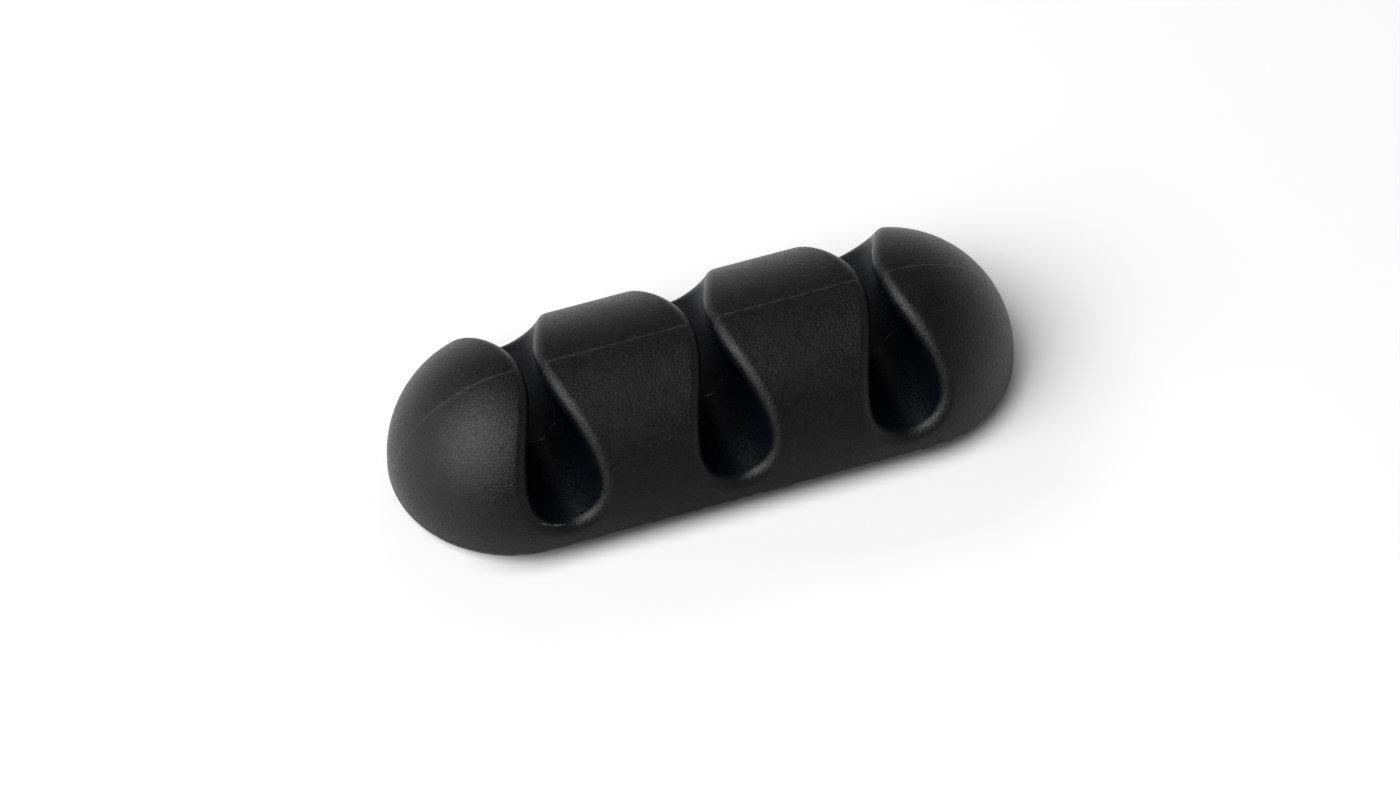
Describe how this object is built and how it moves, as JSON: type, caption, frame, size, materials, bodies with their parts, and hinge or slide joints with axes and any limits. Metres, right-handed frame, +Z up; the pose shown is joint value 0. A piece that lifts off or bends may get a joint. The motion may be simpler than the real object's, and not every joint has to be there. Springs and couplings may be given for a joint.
{
  "type": "adhesive cable clip",
  "caption": "Soft loaf-shaped cable clip with keyhole slots that lead to round channels, on an adhesive foam pad with its liner.",
  "frame": {"origin": "middle of the underside of the release liner, on which the clip stands", "axes": "+X along the clip from slot to slot, +Y along the cable channels, +Z up out of the surface it sticks to"},
  "size_m": [0.057, 0.022, 0.0127],
  "materials": {
    "clip_body": "satin moulded rubber",
    "adhesive_pad": "closed-cell foam with an adhesive skin",
    "release_liner": "smooth coated liner"
  },
  "bodies": {
    "root": {"clip_body": "clip_body", "adhesive_pad": "adhesive_pad", "release_liner": "release_liner"}
  },
  "joints": []
}
